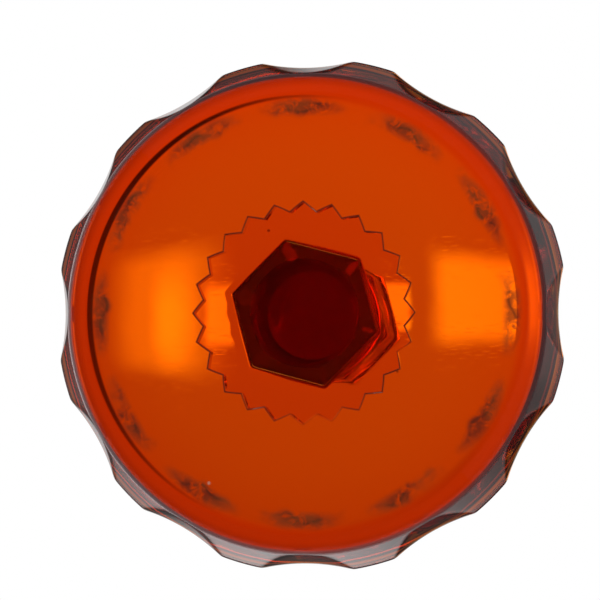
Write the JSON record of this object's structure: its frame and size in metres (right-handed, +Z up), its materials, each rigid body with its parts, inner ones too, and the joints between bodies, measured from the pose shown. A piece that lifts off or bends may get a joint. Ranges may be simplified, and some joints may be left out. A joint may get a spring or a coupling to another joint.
{
  "type": "candlestick",
  "caption": "Low pressed-glass candlestick: scalloped dish foot, toothed collar, round stem on a hexagonal plinth, knop, wafer and hexagonal socket.",
  "frame": {"origin": "centre of the plane that the foot ring stands on", "axes": "+Z up along the candlestick's axis, out of the socket's bore; a scallop of the foot is centred on +X"},
  "size_m": [0.1098, 0.1098, 0.08],
  "materials": {
    "foot_glass": "fire-polished amber glass, ground under the foot ring",
    "collar_glass": "fire-polished amber-red glass",
    "stem_glass": "fire-polished deep red-amber glass",
    "knop_glass": "fire-polished red-amber glass",
    "wafer_glass": "fire-polished amber glass",
    "socket_glass": "fire-polished amber glass"
  },
  "bodies": {
    "root": {"foot": "foot_glass", "collar": "collar_glass", "stem": "stem_glass", "knop": "knop_glass", "wafer": "wafer_glass", "socket": "socket_glass"}
  },
  "joints": []
}
